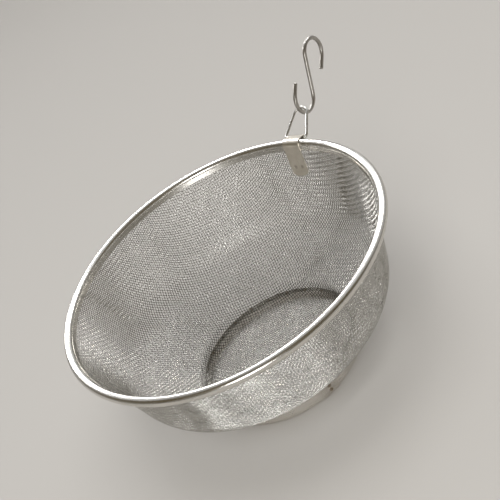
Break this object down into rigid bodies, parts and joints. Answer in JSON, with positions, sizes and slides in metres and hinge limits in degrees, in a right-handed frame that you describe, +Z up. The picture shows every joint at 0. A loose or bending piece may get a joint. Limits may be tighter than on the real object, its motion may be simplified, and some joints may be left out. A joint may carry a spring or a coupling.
{
  "type": "basket strainer",
  "caption": "Round woven-wire kitchen strainer with a rolled tube rim, a steel foot band, a hanging clip with a wire loop, and an S-hook linked in the loop.",
  "frame": {"origin": "centre of the foot band, on the surface that the strainer stands on", "axes": "+Z up along the bowl's axis, +Y towards the hanging clip"},
  "size_m": [0.2252, 0.2958, 0.1346],
  "materials": {
    "polished_steel": "polished stainless steel tube and strip",
    "woven_steel": "plain weave of bright stainless wire",
    "wire_steel": "drawn stainless wire, satin",
    "weld": "spot weld with heat tint"
  },
  "bodies": {
    "strainer": {"rim_sheath": "polished_steel", "rim_core_wire": "wire_steel", "mesh_basket": "woven_steel", "foot_band": "polished_steel", "foot_ring_welds": "weld", "foot_lap_welds": "weld", "hanger_clip": "polished_steel", "clip_welds": "weld"},
    "loop": {"hanging_loop": "wire_steel"},
    "hook": {"s_hook": "wire_steel"}
  },
  "joints": [
    {"name": "loop_swing", "type": "hinge", "parent": "strainer", "child": "loop", "pos_m": [0, 0.1147, 0.0949], "axis": [1, 0, 0], "range_deg": [-114, 106]},
    {"name": "hook_swing", "type": "hinge", "parent": "loop", "child": "hook", "pos_m": [0, 0.1343, 0.10532], "axis": [1, 0, 0], "range_deg": [-12, 90]}
  ]
}
